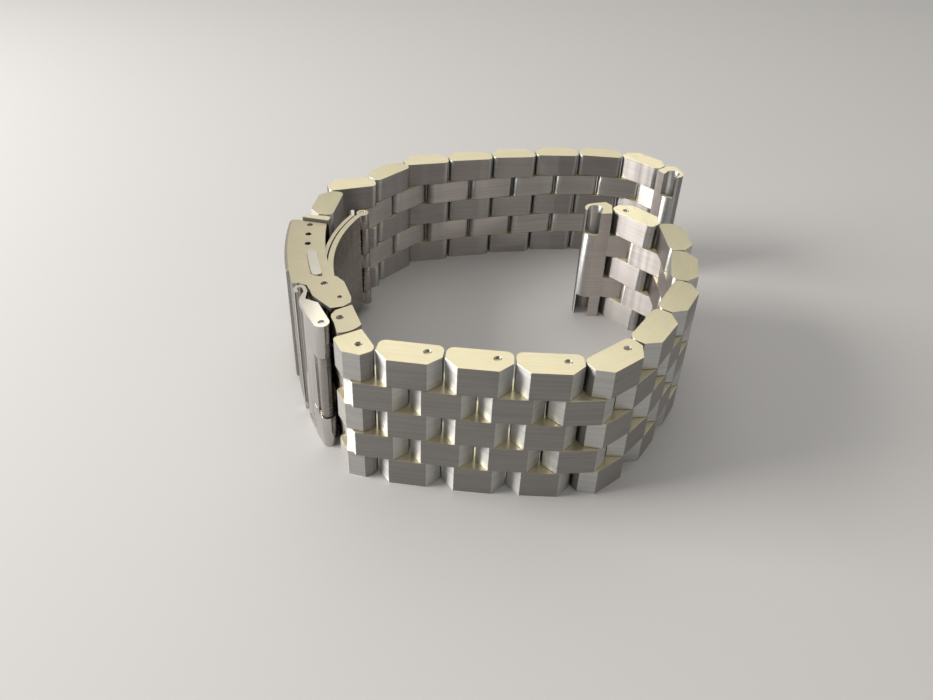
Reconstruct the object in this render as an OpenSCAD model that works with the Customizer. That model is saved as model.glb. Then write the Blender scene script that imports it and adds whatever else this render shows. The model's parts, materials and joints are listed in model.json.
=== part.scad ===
// Engineer link watch bracelet with a folding clasp, laid open on its lower edge.
// Plan view is the XY plane; the band's width runs along Z from 0 to band_w.
// Every link has its first hinge pin at its own origin, runs along its own +X,
// and turns its outer face to +Y or -Y.

/* [Band] */
// Width of the band across the chain
band_w = 22; // [21:0.5:24]
// Distance between neighbouring hinge pins
pin_pitch = 4.5; // [4.4:0.05:4.7]
// Thickness of a link from its wrist face to its outer face
link_t = 4.1; // [3.9:0.05:4.3]
// Height of the hinge pins above the wrist face
pin_h = 1.6; // [1.5:0.05:1.7]
// Gap between neighbouring links of one row
link_gap = 0.25; // [0.2:0.05:0.4]
// Gap between neighbouring rows
row_gap = 0.05; // [0.03:0.01:0.1]
// Width of the two edge rows and the middle row
row_w = 4.45; // [4.3:0.05:4.6]
// Leg of the 45 degree chamfer on a link's outer edges
link_chamfer = 1.75; // [1.65:0.05:1.9]
// Radius of a link's wrist-side corners
corner_r = 1.1; // [1:0.05:1.3]

/* [Hinge pins] */
// Radius of the hinge pins
pin_r = 0.5; // [0.4:0.05:0.55]
// Radial clearance where a piece turns on its pin
pin_fit = 0.05; // [0.03:0.01:0.08]
// Radial clearance where a pin is held
pin_hold = 0.01; // [0.01:0.005:0.02]
// Depth of the pin ends below the edge on removable links
pin_recess = 0.4; // [0.2:0.1:0.6]
// Steel left over the pin ends on fixed links, whose pins are ground flush and brushed over
pin_cover = 0.5; // [0.3:0.1:0.8]

/* [End links] */
// Distance from an end link's hinge pin to its spring bar along the chain
end_reach = 5.2; // [5:0.1:6.4]
// How far the spring bar lies below the line of the hinge pins
end_drop = 0.35; // [0.1:0.05:0.5]
// Radius of the spring bar bore
lug_bore_r = 1.25; // [1.1:0.05:1.3]
// Wall round the spring bar bore
lug_wall = 0.65; // [0.55:0.05:0.8]

/* [Clasp cover] */
// Radius of the cover's outer face in plan
cover_r = 60; // [55:1:65]
// Depth of the cover's side walls
cover_depth = 6; // [5.8:0.1:6.4]
// Thickness of the cover's outer plate
cover_t = 1.2; // [1:0.1:1.3]
// How far the cover's outer face stands out beyond the bracket's
cover_rise = 0.35; // [0.2:0.05:0.4]
// Chamfer along the cover's outer edges
cover_chamfer = 0.5; // [0.3:0.1:0.6]
// Thickness of the side walls, ears and flanges
wall_t = 0.9; // [0.8:0.05:0.95]
// How far the side walls lie in from the band's edges
wall_inset = 0.5; // [0.4:0.05:0.6]
// Thickness of the bracket's and the flip lock's outer plates
plate_t = 0.75; // [0.6:0.05:0.8]
// Clearance between clasp pieces that pass each other
clasp_gap = 0.2; // [0.15:0.05:0.25]
// Depth of the adjusting holes below the cover's outer face
adjust_depth = 3.3; // [3.2:0.1:3.6]
// Angle between neighbouring adjusting holes
adjust_step = 3.07; // [2.9:0.01:3.1]
// Radius of the adjusting spring bar's tube
adjust_bar_r = 0.75; // [0.65:0.05:0.8]
// Radius of the adjusting spring bar's tips
adjust_tip_r = 0.45; // [0.4:0.05:0.5]

/* [Blades] */
// Radius of the inner blade's curve in plan
blade_r = 28; // [27.5:0.1:28.5]
// Thickness of the inner blade
blade_t = 0.9; // [0.7:0.05:0.95]
// Thickness of the middle blade
fold_t = 0.7; // [0.6:0.05:0.8]
// Outer radius of the knuckle between the blades
knuckle_r = 1.05; // [0.95:0.05:1.1]
// Outer radius of the middle blade's roll on the cover hinge pin
roll_r = 0.9; // [0.8:0.05:0.95]

/* [Clasp links] */
// Distance between the two pins of the link next to the inner blade
front_clasp_reach = 6.5; // [6.5:0.1:6.8]
// Distance from the adjusting spring bar to the next link's pin
back_clasp_reach = 5.2; // [5.2:0.1:5.5]

/* [Push buttons and flip lock] */
// Travel of a push button
button_travel = 0.8; // [0.5:0.1:0.9]
// Width of a push button's bar
button_w = 1.5; // [1.3:0.1:1.7]
// Radius of the flip lock's pin
lock_pin_r = 0.4; // [0.35:0.05:0.45]
// Outer radius of the flip lock's curled lip
lip_r = 0.9; // [0.8:0.05:0.95]
// Wire radius of the button springs
wire_r = 0.12; // [0.08:0.02:0.14]

/* [Hidden] */
$fn = 48;
// Fine circles for the long plan curves
fine = 180;
// Plan place of the cover's hinge in the laid pose; the cover and the blades are placed from it
hinge_p = [-26.183, -17.905];
// Depth of the hinge below the cover's outer face, and its angle on the cover's curve
hinge_depth = 4.289;
hinge_a = 204.231;
cover_c = hinge_p - (cover_r - hinge_depth) * [cos(hinge_a), sin(hinge_a)];

// Directions of the links in the laid pose, in whole degrees: the front half
// from the inner blade, and the back half from the cover.
front_dir = [-59, -7, -6, -6, -4, -1, 0, 6, 38, 47, 55, 57, 59, 77, 78, 87, 91, 138, 133, 172];
back_dir = [70, 86, 84, 19, 56, 50, 47, 14, 21, 12, 18, 8, 17, 3, 6, -4, -12, -42, -50];
// Links whose pin shows at its far end, counted along the front half
shown_pins = [2, 4, 6, 8, 18];

half_row_w = (band_w - 3 * row_w - 4 * row_gap) / 2;
row_widths = [row_w, half_row_w, row_w, half_row_w, row_w];
overhang = (pin_pitch - link_gap) / 2;
link_top = link_t - pin_h;

// Lowest Z of a row, counted from the lower edge
function row_z(i) = i == 0 ? 0 : row_z(i - 1) + row_widths[i - 1] + row_gap;
function dir(a) = [cos(a), sin(a)];
// Angle on the cover's curve of a station, which is given as the angle that its distance from
// the hinge would take up at station_r
station_r = 60;
function turn(a) = hinge_a + (a - hinge_a) * station_r / cover_r;
// A plan point at a depth below the cover's outer face and a station
function on_cover(depth, a) = cover_c + (cover_r - depth) * dir(turn(a));
// Plan place of pin i of a chain that starts at p with a first link of length l
function chain_pin(p, dirs, l, i) =
    i == 0 ? p : chain_pin(p, dirs, l, i - 1) + (i == 1 ? l : pin_pitch) * dir(dirs[i - 1]);

// Stations on the cover's curve, from its tail to its nose
tail_a = 183.4;
wall_tail_a = 184.7;
bar_a = 185.1;
hook_a = 195.9;
button_a = [194.8, 200.8];
button_depth = 3.88;
ear_a = 198.3;
plate_end_a = 202.75;
lip_a = 204.3;
lock_pin_a = 213;

// Plan places of the clasp's axes
bar_p = on_cover(adjust_depth, bar_a);
lock_pin_p = on_cover(1, lock_pin_a);
// The blades follow an arc from the knuckle and run on straight from its end
bend_a = 198;
fold_in = blade_r + blade_t / 2 + clasp_gap;
// How far the straight run goes on to the cover's hinge, and to the inner blade's end block
hinge_run = 3.4;
blade_run = 10.6;
blade_c = hinge_p - (fold_in + roll_r) * dir(bend_a) - hinge_run * dir(bend_a + 90);
// Distances along the inner blade's arc from its bend to the knuckle and to the latch posts
knuckle_run = 21.698;
post_run = 4.398;
function arc_a(run) = bend_a - run / blade_r * 180 / PI;
knuckle_a = arc_a(knuckle_run);
post_a = arc_a(post_run);
knuckle_p = blade_c + blade_r * dir(knuckle_a);
// The clasp link's pin lies past the end of the blade's straight run, and outside its line
blade_pin_p = blade_c + (blade_r + 0.595) * dir(bend_a) + (blade_run + 1.54) * dir(bend_a + 90);
front_a = front_dir[0];

// Z of the blades' lower edge, inside both side walls
blade_z = wall_inset + wall_t + clasp_gap;
blade_w = band_w - 2 * blade_z;
// Z of the push buttons' inner plates, and of the posts between them
button_plate_t = 0.9;
button_plate_z = band_w - blade_z - button_plate_t + clasp_gap - 0.05;
hook_t = 0.7;
post_t = 1.4;
post_z = band_w - blade_z - 2.0 - post_t;
hook_z = post_z - 0.1 - hook_t;
rib_w = 1.6;
spring_r = 0.6;
spring_turns = 6;
lock_leg_w = 5.5;
lock_nose_r = lock_pin_r + 0.7;

// Cylinder along Z from z0 to z1 at a plan point
module post(p, r, z0, z1) {
    translate([p[0], p[1], z0]) cylinder(r = r, h = z1 - z0);
}

// A plan shape between two heights
module slab(z0, z1) {
    translate([0, 0, z0]) linear_extrude(z1 - z0) children();
}

// A plan shape repeated at the lower and the upper edge, each t thick and inset from the edge
module both_edges(inset, t) {
    slab(inset, inset + t) children();
    slab(band_w - inset - t, band_w - inset) children();
}

// Plan sector of a ring about c, from radius r0 to r1 and from angle a0 to a1
module ring_sector(c, r0, r1, a0, a1) {
    translate(c) intersection() {
        difference() {
            circle(r = r1, $fn = fine);
            circle(r = r0, $fn = fine);
        }
        polygon([[0, 0], 2 * r1 * dir(a0), 2 * r1 * dir((a0 + a1) / 2), 2 * r1 * dir(a1)]);
    }
}

// Sector of the cover's curve between two depths below its outer face and two stations
module cover_sector(d0, d1, a0, a1) {
    ring_sector(cover_c, cover_r - d1, cover_r - d0, turn(a0), turn(a1));
}

// A link's side profile between two end positions, outer face to +Y
module link_profile(x0, x1) {
    polygon([
        [x0 + corner_r, -pin_h], [x1 - corner_r, -pin_h], [x1, -pin_h + corner_r],
        [x1, link_top - link_chamfer], [x1 - link_chamfer, link_top],
        [x0 + link_chamfer, link_top], [x0, link_top - link_chamfer], [x0, -pin_h + corner_r],
    ]);
    for (x = [x0 + corner_r, x1 - corner_r]) translate([x, -pin_h + corner_r]) circle(r = corner_r);
}

// The rows in a list, each extruded to its own width
module in_rows(rows) {
    for (i = rows) slab(row_z(i), row_z(i) + row_widths[i]) children();
}

// Puts a link on pin i of the front half or the back half
module on_chain(front, i) {
    p = front
        ? chain_pin(blade_pin_p, front_dir, front_clasp_reach, i)
        : chain_pin(bar_p, back_dir, back_clasp_reach, i);
    translate([p[0], p[1], 0])
        rotate([0, 0, front ? front_dir[i] : back_dir[i]])
        mirror([0, front ? 1 : 0, 0])
        children();
}

// Link of the edge rows and the middle row, with the two pins that it holds
module full_link(shown) {
    difference() {
        in_rows([0, 2, 4]) link_profile(-overhang, pin_pitch + overhang);
        for (k = [0, 1]) {
            below = k == 1 && shown ? -1 : pin_cover;
            post([k * pin_pitch, 0], pin_r + pin_hold, below, band_w - below);
        }
    }
    for (k = [0, 1]) {
        below = k == 1 && shown ? pin_recess : pin_cover + pin_hold;
        post([k * pin_pitch, 0], pin_r, below, band_w - below);
    }
}

// Link of the two rows between, which turns on its neighbours' pins
module half_link() {
    difference() {
        in_rows([1, 3]) link_profile(-overhang, pin_pitch + overhang);
        for (x = [0, pin_pitch]) post([x, 0], pin_r + pin_fit, -1, band_w + 1);
    }
}

// Body of an end link in plan: from behind the last full link to the nose
module end_body() {
    x0 = overhang + link_gap;
    r = lug_bore_r + lug_wall;
    polygon([
        [x0, -pin_h], [end_reach - 0.3, -end_drop - r], [end_reach, -end_drop],
        [end_reach + 0.5, -end_drop + r], [x0 + 1.1, link_top], [x0, link_top - 1.1],
    ]);
    translate([end_reach, -end_drop]) circle(r = r);
}

// End link: two tabs on the last pin, and a body with the spring bar channel
module end_link() {
    bar = [end_reach, -end_drop];
    difference() {
        union() {
            slab(0, band_w) end_body();
            in_rows([1, 3]) link_profile(-overhang, end_reach - 0.8);
        }
        post([0, 0], pin_r + pin_fit, -1, band_w + 1);
        post(bar, lug_bore_r, -1, band_w + 1);
        for (i = [0, 4]) translate([bar[0], bar[1], i == 0 ? -1 : row_z(4)])
            rotate([0, 0, -78])
            translate([0, -lug_bore_r, 0])
            cube([link_t, 2 * lug_bore_r, row_w + 1]);
    }
}

// Link between the inner blade and the chain: tabs on the blade's pin, then full rows
module front_clasp_link() {
    l = front_clasp_reach;
    x0 = l - 2.77;
    web = l - overhang - link_gap - x0;
    color("gainsboro") on_chain(true, 0) {
        difference() {
            union() {
                in_rows([0, 2, 4]) clasp_link_block(x0, l + overhang);
                slab(0, band_w) translate([x0, -pin_h]) square([web, link_t - 0.9]);
                in_rows([1, 3]) {
                    circle(r = pin_r + 0.75);
                    polygon([[-0.2, -1.23], [x0 + web, -pin_h], [x0 + web, 1.45], [0, 1.25]]);
                }
            }
            in_rows([1, 3]) circle(r = pin_r + pin_fit);
            post([l, 0], pin_r + pin_hold, -1, band_w + 1);
        }
        post([l, 0], pin_r, pin_recess, band_w - pin_recess);
    }
}

// A link block with a nearly square start and a chamfered far end
module clasp_link_block(x0, x1) {
    polygon([
        [x0, -pin_h], [x1 - corner_r, -pin_h], [x1, -pin_h + corner_r],
        [x1, link_top - link_chamfer], [x1 - link_chamfer, link_top],
        [x0 + 0.3, link_top], [x0, link_top - 0.3],
    ]);
    translate([x1 - corner_r, -pin_h + corner_r]) circle(r = corner_r);
}

// Link between the cover and the chain: a tongue on the adjusting bar, a full-width strip
// and two tabs on the next link's pin
module back_clasp_link() {
    l = back_clasp_reach;
    x0 = 1.35;
    x1 = l - overhang - link_gap;
    color("gainsboro") on_chain(false, 0) difference() {
        union() {
            slab(0, band_w) polygon([
                [1.05, 2.09], [1.75, -2.5], [2.85, -2.27], [x1 + 0.25, -1.5], [x1 - 0.7, 1.6], [1.25, 2.2],
            ]);
            in_rows([1, 3]) link_profile(x0 - 0.4, l + overhang);
            slab(blade_z, band_w - blade_z) {
                circle(r = 1.5);
                polygon([[0, -1.5], [x0 + 0.1, -pin_h], [x0 + 0.1, link_top - 1], [0.8, 1.27]]);
            }
        }
        post([0, 0], adjust_bar_r + pin_fit, -1, band_w + 1);
        post([l, 0], pin_r + pin_fit, -1, band_w + 1);
    }
}

// Plan line of the seam between the cover's walls and the bracket's ears, shifted by g
function seam(g) = [
    on_cover(0.001, ear_a - g), on_cover(2.2, 199.3 - g), on_cover(3.05, 201.3 - g),
    on_cover(4, 202.1 - g), on_cover(6.4, 202.9 - g),
];

// Outline of the bracket's ear in plan
module ear_outline() {
    polygon(concat(seam(0), [
        on_cover(7.1, 204.8), on_cover(7, 207), on_cover(6.8, 209.3), on_cover(6.3, 210.5),
        on_cover(5, 211), on_cover(3.3, 210.6), on_cover(2.5, 208.2), on_cover(1.95, 206.6),
        on_cover(1.95, 205.2), on_cover(1.85, 203.9), on_cover(0.9, 202.95),
        on_cover(0.001, plate_end_a), on_cover(0.001, (ear_a + plate_end_a) / 2),
    ]));
}

// Side profile of the cover's channel across its width, radius by height
module cover_channel() {
    ro = cover_r + cover_rise;
    ri = cover_r - cover_depth;
    z0 = wall_inset;
    z1 = band_w - wall_inset;
    polygon([
        [ri, z0], [ro - cover_chamfer, z0], [ro, z0 + cover_chamfer], [ro, z1 - cover_chamfer],
        [ro - cover_chamfer, z1], [ri, z1], [ri, z1 - wall_t], [ro - cover_t, z1 - wall_t],
        [ro - cover_t, z0 + wall_t], [ri, z0 + wall_t],
    ]);
}

// Cover: channel with its seam cut, a neck for the bracket and the lock, and a spring rib
module cover() {
    neck = cover_t - cover_rise;
    color("silver") difference() {
        union() {
            difference() {
                translate(cover_c) rotate([0, 0, turn(tail_a)])
                    rotate_extrude(angle = turn(tail_a + 20) - turn(tail_a), $fn = 2 * fine) cover_channel();
                slab(-1, band_w + 1) polygon(concat(
                    [on_cover(-3, ear_a - 0.1)], seam(0.1),
                    [on_cover(9, 203.3), on_cover(9, 206), on_cover(-3, 206)]
                ));
                slab(-1, band_w + 1) cover_sector(-3, plate_t, ear_a - 0.1, 206);
                slab(-1, band_w + 1) polygon([
                    on_cover(-3, tail_a), on_cover(cover_t, tail_a), on_cover(cover_depth, wall_tail_a),
                    on_cover(cover_depth + 2, wall_tail_a), on_cover(9, 180), on_cover(-3, 180),
                ]);
            }
            slab(blade_z, band_w - blade_z) {
                cover_sector(neck - 0.25, 2.4, ear_a - 1.1, ear_a - 0.1);
                cover_sector(plate_t, 2.4, ear_a - 0.3, plate_end_a);
                cover_sector(1.75, 2.6, plate_end_a - 1, 208.5);
                cover_sector(plate_t + 0.1, 1.85, 208.3, lock_pin_a - 1.2);
            }
            slab(lock_leg_w + clasp_gap, band_w - lock_leg_w - clasp_gap) {
                cover_sector(plate_t + 0.1, 1.85, lock_pin_a - 2, lock_pin_a);
                translate(lock_pin_p) circle(r = lock_pin_r + 0.55);
            }
            slab(band_w / 2 - rib_w / 2, band_w / 2 + rib_w / 2)
                cover_sector(neck - 0.25, 3.4, hook_a - 1.3, hook_a + 1.3);
        }
        for (k = [0:2])
            post(on_cover(adjust_depth, bar_a + k * adjust_step), adjust_tip_r + pin_fit, -1, band_w + 1);
        post(lock_pin_p, lock_pin_r + pin_hold, -1, band_w + 1);
        both_edges(-1, wall_inset + wall_t + 1.1) button_bar(button_w / 2 + pin_fit);
    }
}

// Plan of a push button's bar: a curved slot with round ends
module button_bar(r) {
    cover_sector(button_depth - r, button_depth + r, button_a[0], button_a[1]);
    for (a = button_a) translate(on_cover(button_depth, a)) circle(r = r);
}

// Bracket over the cover's nose: two ears on the hinge pin, joined by an outer plate
module hinge_bracket() {
    dimple = on_cover(5.35, 208.5);
    color("silver") difference() {
        union() {
            both_edges(0, wall_t) ear_outline();
            slab(0, band_w) cover_sector(0, plate_t, ear_a, plate_end_a);
            for (z = [wall_t - 0.1, band_w - wall_t + 0.1])
                post(dimple, 0.7, z - 0.25, z + 0.25);
        }
        post(hinge_p, pin_r + pin_hold, -1, band_w + 1);
        for (z = [0, band_w]) post(dimple, 0.35, z - 0.3, z + 0.3);
    }
}

// Flip lock: two flanges on its pin, an outer plate with forked front ends, and a curled lip
module flip_lock() {
    color("silver") difference() {
        union() {
            both_edges(0, wall_t) polygon([
                on_cover(-0.1, 207), on_cover(0.7, 206.8), on_cover(2.2, 208.6),
                on_cover(1 + lock_nose_r, lock_pin_a), on_cover(1 - lock_nose_r, lock_pin_a),
                on_cover(-0.15, 210.5),
            ]);
            both_edges(0, lock_leg_w) {
                translate(lock_pin_p) circle(r = lock_nose_r);
                polygon([
                    on_cover(plate_t, 209.5), on_cover(plate_t, lock_pin_a),
                    on_cover(1 - lock_nose_r, lock_pin_a), on_cover(-0.15, 210.5), on_cover(0, 209.5),
                ]);
            }
            slab(0, band_w) {
                cover_sector(0, plate_t, 206.6, lock_pin_a - 1);
                lip_profile();
            }
        }
        post(lock_pin_p, lock_pin_r + pin_fit, -1, band_w + 1);
    }
}

// The curled lip in plan: a leg rising from the plate, a half turn and a short outer leg
module lip_profile() {
    t = plate_t * 0.75;
    translate(on_cover(0.72, lip_a)) rotate(turn(lip_a)) {
        difference() {
            circle(r = lip_r);
            circle(r = lip_r - t);
            translate([-2 * lip_r, 0]) square(4 * lip_r);
        }
        translate([lip_r - t, 0]) square([t, 0.8]);
    }
    polygon([
        on_cover(0.72 + lip_r - t, lip_a - 0.02), on_cover(0.72 + lip_r, lip_a - 0.02),
        on_cover(0.72 + lip_r, lip_a + 0.9), on_cover(plate_t, 207.2), on_cover(0, 207.2),
        on_cover(0.2, 206.4), on_cover(0.72 + lip_r - t, lip_a + 0.9),
    ]);
}

module flip_lock_pin() {
    color("gray") post(lock_pin_p, lock_pin_r, 0.2, band_w - 0.2);
}

// Plan strip that follows the blades' line: an arc from angle a0, then a straight run
module blade_line(r0, r1, a0, run) {
    ring_sector(blade_c, r0, r1, a0, bend_a);
    translate(blade_c) rotate(bend_a) translate([r0, -0.01]) square([r1 - r0, run + 0.01]);
}

// Middle blade: from the knuckle between the blades to the roll on the cover's hinge pin
module middle_blade() {
    color("lightgray") difference() {
        union() {
            slab(blade_z, band_w - blade_z) {
                blade_line(fold_in, fold_in + fold_t, knuckle_a + 3.2, hinge_run);
                translate(hinge_p) circle(r = roll_r);
            }
            for (i = [1, 3]) slab(knuckle_z(i), knuckle_z(i + 1) - 0.05) {
                ring_sector(blade_c, fold_in, fold_in + fold_t, knuckle_a + 0.6, knuckle_a + 4);
                translate(knuckle_p) circle(r = knuckle_r);
            }
        }
        post(knuckle_p, pin_r + pin_fit, -1, band_w + 1);
        post(hinge_p, pin_r + pin_fit, -1, band_w + 1);
        for (z = [hook_z - 0.3, band_w - post_z - post_t - 0.4]) slab(z, z + post_t + 1.5)
            ring_sector(blade_c, blade_r, blade_r + 4, post_a - 3, post_a + 3);
    }
}

// Z where knuckle roll i begins, counted from the lower edge
function knuckle_z(i) = blade_z + blade_w * [0, 0.15, 0.425, 0.575, 0.85, 1][i];

// Inner blade: the long curved plate with its knuckle, latch posts and end block
module inner_blade() {
    r0 = blade_r - blade_t / 2;
    r1 = blade_r + blade_t / 2;
    color("lightgray") difference() {
        union() {
            slab(blade_z, band_w - blade_z) blade_line(r0, r1, knuckle_a + 3.2, blade_run);
            for (i = [0, 2, 4]) slab(knuckle_z(i), knuckle_z(i + 1) - 0.05) {
                ring_sector(blade_c, r0, r1, knuckle_a + 0.6, knuckle_a + 4);
                translate(knuckle_p) circle(r = knuckle_r);
            }
            blade_end_block();
            for (z = [post_z, band_w - post_z - post_t]) slab(z, z + post_t)
                ring_sector(blade_c, blade_r, blade_r + 3, post_a - 1.2, post_a + 1.2);
        }
        post(knuckle_p, pin_r + pin_hold, -1, band_w + 1);
        post(blade_pin_p, pin_r + pin_hold, -1, band_w + 1);
    }
}

// Block at the inner blade's end: three knuckles on the clasp link's pin, one piece behind it
module blade_end_block() {
    translate([blade_pin_p[0], blade_pin_p[1], 0]) rotate([0, 0, front_a]) {
        in_rows([0, 2, 4]) end_block_outline(3.4);
        slab(wall_t + clasp_gap, band_w - wall_t - clasp_gap) intersection() {
            end_block_outline(3.4);
            translate([-4, -2]) square([2.55, 6]);
        }
    }
}

// Plan of the end block, rounded about its pin so that the next link can turn
module end_block_outline(r) {
    intersection() {
        circle(r = r);
        polygon([
            [-1.85, 0.1], [-2, 2.6], [3.4, 1.9], [3.4, -1.7], [0.8, -1.15],
            [-0.6, -1.05], [-1.2, -0.8],
        ]);
    }
}

module knuckle_pin() {
    color("gray") post(knuckle_p, pin_r, blade_z + 0.1, band_w - blade_z - 0.1);
}

module cover_hinge_pin() {
    color("gray") post(hinge_p, pin_r, 0.3, band_w - 0.3);
}

module clasp_link_pin() {
    color("gray") post(blade_pin_p, pin_r, 0.4, band_w - 0.4);
}

// Spring bar in the cover's end pair of adjusting holes: a tube with two sprung tips
module adjusting_spring_bar() {
    color("gray") {
        post(bar_p, adjust_bar_r, blade_z + 0.05, band_w - blade_z - 0.05);
        post(bar_p, adjust_tip_r, wall_inset + 0.3, blade_z + 0.05);
        post(bar_p, adjust_tip_r, band_w - blade_z - 0.05, band_w - wall_inset - 0.3);
    }
}

// Push button for the upper edge: bar, retaining plate, bridge and hook
module push_button() {
    top = button_plate_z + button_plate_t;
    slab(top - 0.2, band_w) button_bar(button_w / 2);
    slab(button_plate_z, top)
        cover_sector(button_depth - 1.33, button_depth + 0.7, hook_a - 1.6, 198.5);
    slab(hook_z, top) cover_sector(1.05, 2.7, hook_a - 0.8, hook_a + 0.8);
    slab(hook_z, hook_z + hook_t) cover_sector(1.05, 4.6, hook_a - 0.8, hook_a + 0.8);
}

module push_button_upper() {
    color("silver") push_button();
}

module push_button_lower() {
    color("silver") translate([0, 0, band_w]) mirror([0, 0, 1]) push_button();
}

// Coil spring between the cover's rib and the upper button's hook
function coil_ring(i, n, r, lead, sides) = [
    for (k = [0:sides - 1])
        let (a = 360 * spring_turns * i / n, b = 360 * k / sides)
        [(r + wire_r * cos(b)) * cos(a), (r + wire_r * cos(b)) * sin(a), lead * i / n + wire_r * sin(b)]
];

module button_spring() {
    sides = 6;
    n = spring_turns * 8;
    z0 = band_w / 2 + rib_w / 2 + wire_r + 0.02;
    z1 = hook_z - wire_r - 0.02;
    points = [for (i = [0:n]) each coil_ring(i, n, spring_r - wire_r, z1 - z0, sides)];
    sides_faces = [
        for (i = [0:n - 1], k = [0:sides - 1])
            let (a = i * sides + k, b = i * sides + (k + 1) % sides)
            each [[a, a + sides, b + sides], [a, b + sides, b]]
    ];
    caps = [
        for (k = [1:sides - 2]) [0, k, k + 1],
        for (k = [1:sides - 2]) [n * sides, n * sides + k + 1, n * sides + k],
    ];
    p = on_cover(1.75, hook_a);
    translate([p[0], p[1], z0]) polyhedron(points = points, faces = concat(sides_faces, caps));
}

module button_spring_upper() {
    color("gray") button_spring();
}

module button_spring_lower() {
    color("gray") translate([0, 0, band_w]) mirror([0, 0, 1]) button_spring();
}

module front_end_link() {
    color("gainsboro") on_chain(true, 19) end_link();
}

module back_end_link() {
    color("gainsboro") on_chain(false, 18) end_link();
}

cover();
hinge_bracket();
flip_lock();
flip_lock_pin();
middle_blade();
inner_blade();
knuckle_pin();
cover_hinge_pin();
clasp_link_pin();
adjusting_spring_bar();
push_button_upper();
push_button_lower();
button_spring_upper();
button_spring_lower();
front_clasp_link();
front_end_link();
back_clasp_link();
back_end_link();
for (k = [1:9]) {
    color("silver") on_chain(true, 2 * k - 1) half_link();
    color("gainsboro") on_chain(true, 2 * k) full_link(search(2 * k, shown_pins) != []);
    color("gainsboro") on_chain(false, 2 * k - 1) full_link(false);
}
for (k = [1:8]) {
    color("silver") on_chain(false, 2 * k) half_link();
}
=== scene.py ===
"""Looks of the engineer link watch bracelet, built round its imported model."""

import json
import math

import bmesh
import bpy
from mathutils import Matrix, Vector

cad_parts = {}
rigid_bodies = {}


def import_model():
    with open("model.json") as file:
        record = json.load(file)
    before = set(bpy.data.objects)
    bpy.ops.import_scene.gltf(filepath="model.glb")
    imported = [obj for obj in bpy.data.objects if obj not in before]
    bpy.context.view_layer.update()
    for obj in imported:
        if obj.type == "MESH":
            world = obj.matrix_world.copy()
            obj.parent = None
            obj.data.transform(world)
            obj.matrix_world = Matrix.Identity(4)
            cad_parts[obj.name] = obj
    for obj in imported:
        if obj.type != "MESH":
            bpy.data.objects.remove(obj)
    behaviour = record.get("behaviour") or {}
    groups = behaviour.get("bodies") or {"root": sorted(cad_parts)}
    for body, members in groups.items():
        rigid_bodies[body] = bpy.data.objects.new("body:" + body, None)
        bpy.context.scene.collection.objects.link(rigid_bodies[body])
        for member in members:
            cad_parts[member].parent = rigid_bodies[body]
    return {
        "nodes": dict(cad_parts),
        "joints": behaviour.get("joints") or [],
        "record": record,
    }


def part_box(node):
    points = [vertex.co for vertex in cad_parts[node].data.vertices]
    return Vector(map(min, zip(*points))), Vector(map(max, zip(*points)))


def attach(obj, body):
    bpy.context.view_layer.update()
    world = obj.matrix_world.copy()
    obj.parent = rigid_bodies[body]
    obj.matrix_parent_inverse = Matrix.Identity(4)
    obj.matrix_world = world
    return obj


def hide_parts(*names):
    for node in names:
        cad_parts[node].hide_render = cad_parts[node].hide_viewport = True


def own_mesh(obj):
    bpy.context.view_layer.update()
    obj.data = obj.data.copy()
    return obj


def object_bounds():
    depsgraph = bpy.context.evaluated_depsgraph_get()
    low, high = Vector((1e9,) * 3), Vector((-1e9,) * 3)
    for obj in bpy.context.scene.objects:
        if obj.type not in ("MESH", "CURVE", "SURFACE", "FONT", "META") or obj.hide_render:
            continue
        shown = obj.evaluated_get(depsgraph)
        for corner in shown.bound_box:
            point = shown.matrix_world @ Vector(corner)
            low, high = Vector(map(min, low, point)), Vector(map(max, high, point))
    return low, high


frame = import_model()
cad_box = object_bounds()
scene = bpy.context.scene
scene.view_settings.view_transform = "Standard"

MM = 0.001

# Camera, as the photograph was taken
IMAGE_W = 933
FOCAL_PX = 743.0
PRINCIPAL_ROW = 245
MIDDLE_ROW = 350
SENSOR_MM = 36.0
CAMERA_AT = Vector((-5.85, -106.97, 82.32)) * MM
PITCH_DOWN = math.radians(30.72)
ROLL = math.radians(2.32)

# Room: the backdrop's colour, its levels low, high, at the right and in front, and the floor's colour
BACKDROP = (0.93, 0.92, 0.90)
BACKDROP_LOW = 0.62
BACKDROP_HIGH = 0.86
BACKDROP_RIGHT = 0.60
BACKDROP_FRONT = 0.72
BACKDROP_TOP = 0.55
ROOM_STRENGTH = 0.42
FLOOR_COLOUR = (0.57, 0.555, 0.54)

# Colours of the steels; the edge sheens, the chamfer highlight and the wrist colours are painted light
# painted reflection: the links' flat edge faces painted a lighter cream for the light they catch from
# above
LINK_EDGE_PAINTED_SHEEN = (0.78, 0.71, 0.485)
BRUSHED_STEEL = (0.335, 0.319, 0.304)
# painted light: wrist sides painted lighter than the brushed faces, for the light they catch
WRIST_PAINTED_LIGHT = (0.43, 0.40, 0.38)
# painted light: a still lighter wrist colour for the half and end links
HALF_END_WRIST_PAINTED_LIGHT = (0.60, 0.56, 0.53)
# painted highlight: chamfers painted near white for the window light they reflect
CHAMFER_PAINTED_HIGHLIGHT = (0.58, 0.575, 0.56)
PIN_STEEL = (0.66, 0.65, 0.62)
# the push-buttons' colour, also put on the lock's flat edge faces as a painted reflection
BUTTON_STEEL_AND_LOCK_EDGE_SHEEN = (0.70, 0.66, 0.56)
# painted reflection: the cover's and blade's flat edge faces painted a lighter yellowish sheen
CLASP_EDGE_PAINTED_SHEEN = (0.56, 0.505, 0.355)
MIRROR_STEEL = (0.55, 0.525, 0.51)
BLADE_STEEL = (0.42, 0.38, 0.35)
WIRE_STEEL = (0.55, 0.55, 0.54)

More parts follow.
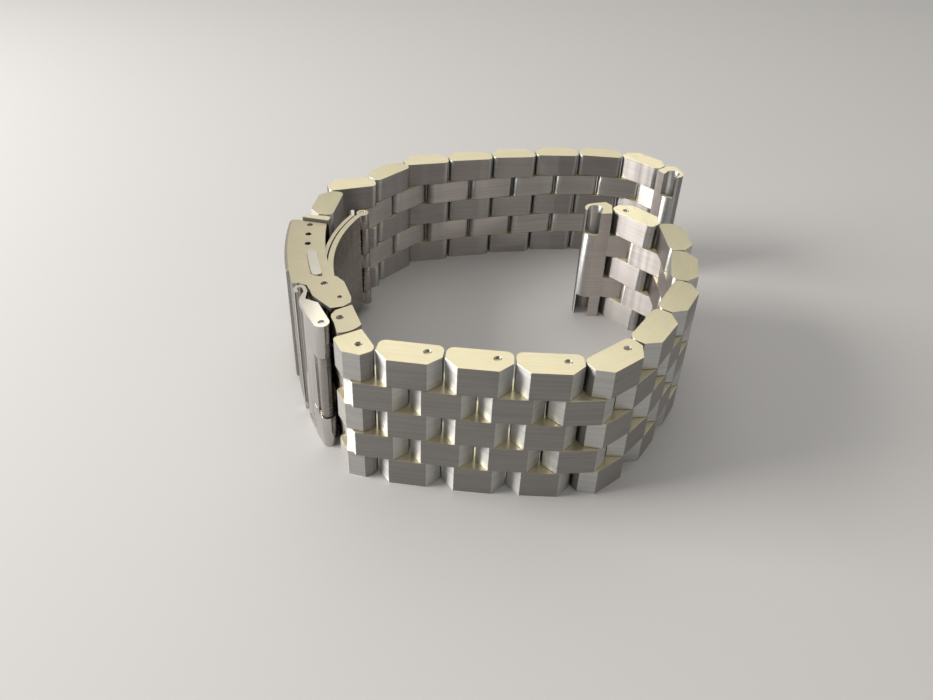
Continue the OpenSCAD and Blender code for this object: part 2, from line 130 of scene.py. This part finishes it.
# Surface detail: noise periods are per metre, depths in metres
BRUSH_ACROSS = 3600.0
BRUSH_ALONG = 90.0
BROAD_ALONG = 60.0
BROAD_ACROSS = 0.16
CLOUDS = 260.0
CROWN_ALONG = 330.0
SCRATCH_ACROSS = 5200.0
SCRATCH_ALONG = 160.0
SEED_SPREAD = 900.0
BRUSH_DEPTH = 0.02 * MM
CROWN_DEPTH = 0.28 * MM
GRAIN_DEPTH = 0.01 * MM
EDGE_ROUND = 0.08 * MM
WELD_WITHIN = 0.002 * MM

# Coil springs behind the push-buttons
WIRE_RADIUS = 0.12 * MM
SPRING_TURNS = 6
STEPS_PER_TURN = 28
WIRE_SIDES = 10
CLOSED_SHARE = 0.08


def make_camera():
    """The camera, looking along +Y and down, with the roll and shift of the photograph's framing."""
    data = bpy.data.cameras.new("photo_camera")
    data.sensor_width = SENSOR_MM
    data.lens = FOCAL_PX / IMAGE_W * SENSOR_MM
    data.shift_y = (PRINCIPAL_ROW - MIDDLE_ROW) / IMAGE_W
    data.clip_start = 0.005
    data.clip_end = 20
    camera = bpy.data.objects.new("photo_camera", data)
    scene.collection.objects.link(camera)
    forward = Vector((0, math.cos(PITCH_DOWN), -math.sin(PITCH_DOWN)))
    up = Vector((0, math.sin(PITCH_DOWN), math.cos(PITCH_DOWN)))
    right = Vector((1, 0, 0))
    rolled_right = right * math.cos(ROLL) + up * math.sin(ROLL)
    rolled_up = up * math.cos(ROLL) - right * math.sin(ROLL)
    camera.rotation_mode = "QUATERNION"
    basis = [rolled_right, rolled_up, -forward]
    matrix = camera.matrix_world.copy()
    for column, axis in enumerate(basis):
        for row in range(3):
            matrix[row][column] = axis[row]
        matrix[column][3] = CAMERA_AT[column]
    camera.matrix_world = matrix
    scene.camera = camera


class Nodes:
    """Short names for the few node calls that the materials and the world share."""

    def __init__(self, owner, output="ShaderNodeOutputMaterial"):
        owner.use_nodes = True
        self.tree = owner.node_tree
        self.tree.nodes.clear()
        self.out = self.add(output)

    def add(self, kind, **settings):
        """A node with its settings."""
        node = self.tree.nodes.new(kind)
        for name, value in settings.items():
            setattr(node, name, value)
        return node

    def join(self, source, target):
        """A link from one socket to another."""
        self.tree.links.new(source, target)

    def feed(self, socket, value):
        """Sets a socket to a number or colour, or links it to another socket."""
        if isinstance(value, bpy.types.NodeSocket):
            self.join(value, socket)
        elif hasattr(value, "__len__") and len(value) == 3 and len(socket.default_value) == 4:
            socket.default_value = (*value, 1)
        else:
            socket.default_value = value

    def math(self, operation, a, b=0.5, c=0.5):
        """One arithmetic step."""
        node = self.add("ShaderNodeMath", operation=operation)
        for socket, value in zip(node.inputs, (a, b, c)):
            self.feed(socket, value)
        return node.outputs[0]

    def ramp(self, value, low, high, to_low=0.0, to_high=1.0, shape="SMOOTHSTEP"):
        """A value stretched between two limits."""
        node = self.add("ShaderNodeMapRange", interpolation_type=shape)
        for socket, number in zip(node.inputs, (value, low, high, to_low, to_high)):
            self.feed(socket, number)
        return node.outputs[0]

    def mix(self, share, a, b):
        """A colour between a and b."""
        node = self.add("ShaderNodeMix", data_type="RGBA")
        self.feed(node.inputs["Factor"], share)
        self.feed(node.inputs[6], a)
        self.feed(node.inputs[7], b)
        return node.outputs[2]

    def noise(self, vector, scale, detail=2.0, roughness=0.5):
        """A noise value."""
        node = self.add("ShaderNodeTexNoise")
        self.feed(node.inputs["Vector"], vector)
        self.feed(node.inputs["Scale"], scale)
        self.feed(node.inputs["Detail"], detail)
        self.feed(node.inputs["Roughness"], roughness)
        return node.outputs[0]

    def vector(self, x, y, z):
        """A vector from three numbers."""
        node = self.add("ShaderNodeCombineXYZ")
        for socket, value in zip(node.inputs, (x, y, z)):
            self.feed(socket, value)
        return node.outputs[0]

    def parts(self, vector):
        """The three numbers of a vector."""
        node = self.add("ShaderNodeSeparateXYZ")
        self.feed(node.inputs[0], vector)
        return node.outputs

    def bump(self, height, strength, distance, normal=None):
        """A normal tilted by a height pattern."""
        node = self.add("ShaderNodeBump")
        self.feed(node.inputs["Strength"], strength)
        self.feed(node.inputs["Distance"], distance)
        self.feed(node.inputs["Height"], height)
        if normal:
            self.feed(node.inputs["Normal"], normal)
        return node.outputs[0]

    def brightness(self, colour, value):
        """A colour made lighter or darker."""
        node = self.add("ShaderNodeHueSaturation")
        self.feed(node.inputs["Color"], colour)
        self.feed(node.inputs["Value"], value)
        return node.outputs[0]

    def metal(self, colour, rough, normal):
        """A metal shader, joined to the output."""
        shader = self.add("ShaderNodeBsdfPrincipled")
        shader.inputs["Metallic"].default_value = 1.0
        self.feed(shader.inputs["Base Color"], colour)
        self.feed(shader.inputs["Roughness"], rough)
        self.feed(shader.inputs["Normal"], normal)
        self.join(shader.outputs[0], self.out.inputs[0])
        return shader

    def turned(self, vector, centre, angle):
        """A vector seen from a piece's own middle and heading."""
        node = self.add("ShaderNodeMapping", vector_type="TEXTURE")
        self.feed(node.inputs["Vector"], vector)
        node.inputs["Location"].default_value = centre
        node.inputs["Rotation"].default_value = (0, 0, angle)
        return node.outputs[0]


def own_axes(n, centre, angle):
    """Place and normal in a piece's own axes: x along it, y across its thickness, z across its width."""
    texture = n.add("ShaderNodeTexCoord")
    place = n.parts(n.turned(texture.outputs["Object"], centre, angle))
    normal = n.parts(n.turned(texture.outputs["Normal"], (0, 0, 0), angle))
    return place, normal


def brush_lines(n, place, flat, seed):
    """Fine brushing along a piece, and the broader bands that it leaves."""
    on_face = n.math("MULTIPLY", place[2], n.math("SUBTRACT", 1.0, flat))
    on_edge = n.math("MULTIPLY", place[1], flat)
    across = n.math("MULTIPLY", n.math("ADD", on_edge, on_face), BRUSH_ACROSS)
    along = n.math("MULTIPLY", place[0], BRUSH_ALONG)
    lines = n.noise(n.vector(along, across, seed), 1.0, 3.0, 0.62)
    far_along = n.math("MULTIPLY", place[0], BROAD_ALONG)
    far_across = n.math("MULTIPLY", across, BROAD_ACROSS)
    broad = n.noise(n.vector(far_along, far_across, 3.7), 1.0, 2.0)
    return lines, broad


def steel(name, face, side, chamfer_highlight=None, centre=(0, 0, 0), angle=0.0, face_rough=0.47, side_rough=0.36,
          chamfer_rough=0.42, brushed=0.65, scratches=0.5, wrist_painted_light=WRIST_PAINTED_LIGHT, wrist_side=0):
    """Steel with brushed faces and satin edges, the edges painted in the side colour, a lighter sheen that
    is painted reflection.

    Where a piece has them it also gets chamfers painted brighter as a painted highlight, and a warmer,
    slightly crowned wrist side painted lighter as painted light.
    """
    material = bpy.data.materials.new(name)
    n = Nodes(material)
    place, normal = own_axes(n, centre, angle)
    flat = n.ramp(n.math("ABSOLUTE", normal[2]), 0.6, 0.8)
    wristward = n.ramp(n.math("MULTIPLY", normal[1], wrist_side), 0.7, 0.9)
    slope = n.math("MULTIPLY", n.math("ABSOLUTE", normal[0]), n.math("ABSOLUTE", normal[1]))
    cut = n.ramp(slope, 0.22, 0.34)
    lines, broad = brush_lines(n, place, flat, centre[0] * SEED_SPREAD)
    cloud = n.noise(n.vector(place[0], place[1], place[2]), CLOUDS, 2.0)

    # the flat edge faces take the side colour, a painted reflection, and the wrist side its wrist colour,
    # painted light
    colour = n.mix(flat, n.mix(wristward, face, wrist_painted_light), side)
    rough = n.math("ADD", n.math("MULTIPLY", flat, side_rough - face_rough), face_rough)
    # chamfers painted brighter: painted highlight
    if chamfer_highlight:
        colour = n.mix(cut, colour, chamfer_highlight)
        rough = n.math("ADD", rough, n.math("MULTIPLY", cut, chamfer_rough - face_rough))
    shade = n.ramp(n.math("ADD", n.math("MULTIPLY", lines, 0.7), n.math("MULTIPLY", broad, 0.3)), 0.3, 0.7)
    contrast = n.math("ADD", n.math("MULTIPLY", flat, -0.20 * brushed), 0.34 * brushed)
    value = n.math("ADD", n.math("MULTIPLY", n.math("SUBTRACT", shade, 0.5), contrast), 1.0)
    rough = n.math("ADD", rough, n.math("MULTIPLY", n.math("SUBTRACT", lines, 0.5), 0.22 * brushed))
    rough = n.math("ADD", rough, n.math("MULTIPLY", n.math("SUBTRACT", cloud, 0.5), 0.10))

    height = n.math("ADD", lines, n.math("MULTIPLY", scratch_lines(n, place), -scratches))
    depth = n.math("MULTIPLY", n.math("SUBTRACT", 1.0, cut), 0.24 * brushed)
    fine = n.bump(height, depth, BRUSH_DEPTH)
    wave = n.vector(n.math("MULTIPLY", place[0], CROWN_ALONG), centre[1] * SEED_SPREAD, 2.3)
    crown = n.bump(n.noise(wave, 1.0, 1.0), n.math("MULTIPLY", wristward, 0.8), CROWN_DEPTH, fine)
    shader = n.metal(n.brightness(colour, value), rough, crown)
    shader.inputs["Anisotropic"].default_value = 0.88
    tangent = n.vector(-0.01 * math.sin(angle), 0.01 * math.cos(angle), 1.0)
    n.feed(shader.inputs["Tangent"], tangent)
    return material


def scratch_lines(n, place):
    """Thin handling scratches at a few slants."""
    total = None
    for slant, seed in ((0.35, 1.3), (-0.6, 5.1)):
        run = n.math("ADD", place[2], n.math("MULTIPLY", n.math("ADD", place[0], place[1]), slant))
        across = n.math("MULTIPLY", run, SCRATCH_ACROSS)
        along = n.math("MULTIPLY", place[0], SCRATCH_ALONG)
        wave = n.noise(n.vector(across, along, seed), 1.0, 1.0)
        thin = n.ramp(wave, 0.70, 0.76)
        total = thin if total is None else n.math("MAXIMUM", total, thin)
    return total


def plain_steel(name, colour, rough, grain=0.06, scale=1500.0):
    """Steel with a fine even grain, for pins, springs and turned pieces."""
    material = bpy.data.materials.new(name)
    n = Nodes(material)
    texture = n.add("ShaderNodeTexCoord")
    speckle = n.noise(texture.outputs["Object"], scale, 3.0)
    cloud = n.noise(texture.outputs["Object"], 240.0, 2.0)
    tone = n.brightness(colour, n.math("ADD", n.math("MULTIPLY", cloud, 0.16), 0.92))
    roughness = n.math("ADD", n.math("MULTIPLY", speckle, grain), rough - grain / 2)
    n.metal(tone, roughness, n.bump(speckle, 0.12, GRAIN_DEPTH))
    return material


def chain_headings():
    """Each chain piece's middle and heading, from the pins on either side of it."""
    pins = {}
    for joint in frame["joints"]:
        for body in (joint["parent"], joint["child"]) if joint["type"] == "hinge" else ():
            pins.setdefault(body, []).append(Vector(joint["pos_m"]))
    for mount in frame["record"]["mounts"]:
        side = mount["name"].split("_")[0]
        pins.setdefault(side + "_end_link", []).append(Vector(mount["pos_m"]))
    found = {}
    for body, places in pins.items():
        if "link" in body and len(places) >= 2:
            first, last = places[0], places[-1]
            middle = (first + last) / 2
            found[body] = (middle, math.atan2(last.y - first.y, last.x - first.x))
    return found


def dress(node, material):
    """Gives a CAD node its material."""
    mesh = frame["nodes"][node].data
    mesh.materials.clear()
    mesh.materials.append(material)


def round_edges(node, width):
    """Breaks a node's sharp edges, as tumbling does, with modifiers alone."""
    piece = frame["nodes"][node]
    weld = piece.modifiers.new("weld", "WELD")
    weld.merge_threshold = WELD_WITHIN
    flat = piece.modifiers.new("flat", "DECIMATE")
    flat.decimate_type = "DISSOLVE"
    flat.angle_limit = math.radians(0.5)
    bevel = piece.modifiers.new("rounded", "BEVEL")
    bevel.width = width
    bevel.segments = 2
    bevel.limit_method = "ANGLE"
    bevel.angle_limit = math.radians(28)
    bevel.harden_normals = True
    bevel.use_clamp_overlap = True


def coil_mesh(name, axis, radius, bottom, run):
    """Round wire wound about an upright axis, with its first and last turns closed and its ends capped."""
    shape = bmesh.new()
    rings = []
    steps = SPRING_TURNS * STEPS_PER_TURN
    pitch = run / (SPRING_TURNS * math.tau * radius)
    for i in range(steps + 1):
        share = i / steps
        turned = share * SPRING_TURNS * math.tau
        outward = Vector((math.cos(turned), math.sin(turned), 0))
        onward = Vector((-math.sin(turned), math.cos(turned), pitch)).normalized()
        upward = onward.cross(outward)
        rise = min(max((share - CLOSED_SHARE) / (1 - 2 * CLOSED_SHARE), 0), 1)
        centre = Vector((axis.x, axis.y, bottom + run * rise)) + outward * radius
        ring = []
        for k in range(WIRE_SIDES):
            a = k / WIRE_SIDES * math.tau
            corner = (outward * math.cos(a) + upward * math.sin(a)) * WIRE_RADIUS
            ring.append(shape.verts.new(centre + corner))
        rings.append(ring)
    for first, second in zip(rings, rings[1:]):
        for k in range(WIRE_SIDES):
            m = (k + 1) % WIRE_SIDES
            shape.faces.new((first[k], first[m], second[m], second[k]))
    shape.faces.new(list(reversed(rings[0])))
    shape.faces.new(rings[-1])
    bmesh.ops.recalc_face_normals(shape, faces=shape.faces[:])
    mesh = bpy.data.meshes.new(name)
    shape.to_mesh(mesh)
    shape.free()
    mesh.polygons.foreach_set("use_smooth", [len(face.vertices) == 4 for face in mesh.polygons])
    return mesh


def coil_spring(side, material):
    """A coil spring between the cover's rib and a push-button."""
    node = "button_spring_" + side
    name = "coil_spring_" + side
    low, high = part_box(node)
    middle = (low + high) / 2
    radius = (high.x - low.x) / 2 - WIRE_RADIUS
    length = high.z - low.z
    mesh = coil_mesh(name, middle, radius, low.z + WIRE_RADIUS, length - 2 * WIRE_RADIUS)
    mesh.materials.append(material)
    spring = bpy.data.objects.new(name, mesh)
    scene.collection.objects.link(spring)
    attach(spring, "cover")
    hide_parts(node)
    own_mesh(spring)


def body_of_node():
    """The body that each node belongs to."""
    bodies = frame["record"]["behaviour"]["bodies"]
    return {node: body for body, nodes in bodies.items() for node in nodes}


def dress_all():
    """Materials for every node."""
    headings = chain_headings()
    bodies = body_of_node()
    wire = plain_steel("spring_wire", WIRE_STEEL, 0.30)
    pin = plain_steel("pin_steel", PIN_STEEL, 0.22)
    button = plain_steel("button_steel", BUTTON_STEEL_AND_LOCK_EDGE_SHEEN, 0.20)
    # the side colours here paint a lighter sheen on the flat edge faces of blade, cover and lock: painted
    # reflection
    blade = steel("blade_steel", BLADE_STEEL, CLASP_EDGE_PAINTED_SHEEN, face_rough=0.27, side_rough=0.30, brushed=0.3)
    cover = steel("cover_steel", BRUSHED_STEEL, CLASP_EDGE_PAINTED_SHEEN, face_rough=0.26, side_rough=0.33, brushed=0.5)
    lock = steel("lock_steel", MIRROR_STEEL, BUTTON_STEEL_AND_LOCK_EDGE_SHEEN, face_rough=0.07, side_rough=0.12, brushed=0.1)
    for node in frame["nodes"]:
        if "spring_bar" in node or node.endswith("_pin"):
            dress(node, pin)
        elif node.startswith("button_spring"):
            dress(node, wire)
            coil_spring(node.split("_")[-1], wire)
        elif node.startswith("push_button"):
            dress(node, button)
        elif node.endswith("_blade"):
            dress(node, blade)
        elif node in ("cover", "hinge_bracket"):
            dress(node, cover)
        elif node == "flip_lock":
            dress(node, lock)
        else:
            middle, angle = headings[bodies[node]]
            inward = 1 if node.startswith("front") else -1
            # half and end links get the lighter painted-light wrist colour
            wrist_painted_light = HALF_END_WRIST_PAINTED_LIGHT if "half" in node or "end" in node else WRIST_PAINTED_LIGHT
            link = steel(node + "_steel", BRUSHED_STEEL, LINK_EDGE_PAINTED_SHEEN, CHAMFER_PAINTED_HIGHLIGHT, middle, angle,
                         wrist_painted_light=wrist_painted_light, wrist_side=inward)
            dress(node, link)
        if not node.startswith("button_spring"):
            round_edges(node, EDGE_ROUND)


def make_floor():
    """A plain pale floor, level with the band's lower edge."""
    low = cad_box[0].z
    bpy.ops.mesh.primitive_plane_add(size=6, location=(0, 0, low))
    floor = bpy.context.object
    floor.name = "floor"
    material = bpy.data.materials.new("floor_matt")
    n = Nodes(material)
    shader = n.add("ShaderNodeBsdfPrincipled")
    shader.inputs["Roughness"].default_value = 0.85
    texture = n.add("ShaderNodeTexCoord")
    cloud = n.noise(texture.outputs["Object"], 30.0, 3.0)
    n.feed(shader.inputs["Base Color"], n.mix(cloud, [c * 0.985 for c in FLOOR_COLOUR], FLOOR_COLOUR))
    n.join(shader.outputs[0], n.out.inputs[0])
    floor.data.materials.append(material)


def make_world():
    """A backdrop that is palest high up and at the left, and a weaker even light from all round."""
    world = bpy.data.worlds.new("studio")
    scene.world = world
    n = Nodes(world, "ShaderNodeOutputWorld")
    x, y, z = n.parts(n.add("ShaderNodeTexCoord").outputs["Generated"])
    rise = n.ramp(z, 0.0, BACKDROP_TOP, BACKDROP_LOW, BACKDROP_HIGH, "LINEAR")
    aside = n.ramp(x, -0.6, 0.5, 1.0, BACKDROP_RIGHT, "LINEAR")
    before = n.ramp(y, -0.8, 0.2, BACKDROP_FRONT, 1.0, "LINEAR")
    seen = n.add("ShaderNodeBackground")
    n.feed(seen.inputs[0], BACKDROP)
    n.feed(seen.inputs[1], n.math("MULTIPLY", rise, n.math("MULTIPLY", aside, before)))
    even = n.add("ShaderNodeBackground")
    n.feed(even.inputs[0], BACKDROP)
    n.feed(even.inputs[1], ROOM_STRENGTH)
    path = n.add("ShaderNodeLightPath")
    glossy = n.math("MAXIMUM", path.outputs["Is Camera Ray"], path.outputs["Is Glossy Ray"])
    shown = n.math("MAXIMUM", glossy, path.outputs["Is Transmission Ray"])
    mixed = n.add("ShaderNodeMixShader")
    n.join(shown, mixed.inputs[0])
    n.join(even.outputs[0], mixed.inputs[1])
    n.join(seen.outputs[0], mixed.inputs[2])
    n.join(mixed.outputs[0], n.out.inputs[0])


def area_lamp(name, place, size, power, colour=(1, 1, 1)):
    """A square soft lamp, aimed at the object's middle."""
    data = bpy.data.lights.new(name, "AREA")
    data.shape = "SQUARE"
    data.size = size
    data.energy = power
    data.color = colour
    lamp = bpy.data.objects.new(name, data)
    scene.collection.objects.link(lamp)
    lamp.location = Vector(place)
    middle = (cad_box[0] + cad_box[1]) / 2
    lamp.rotation_mode = "QUATERNION"
    lamp.rotation_quaternion = (middle - lamp.location).to_track_quat("-Z", "Y")


def make_lamps():
    """A window-like lamp at the left, a soft one overhead and a low fill from the right."""
    area_lamp("left_window", (-0.42, -0.045, 0.20), 0.24, 2.8, (1.0, 0.99, 0.97))
    area_lamp("overhead", (0.05, 0.25, 0.50), 0.50, 0.8, (1.0, 0.99, 0.96))
    area_lamp("right_fill", (0.45, -0.25, 0.30), 0.35, 0.1)


make_camera()
dress_all()
make_floor()
make_world()
make_lamps()
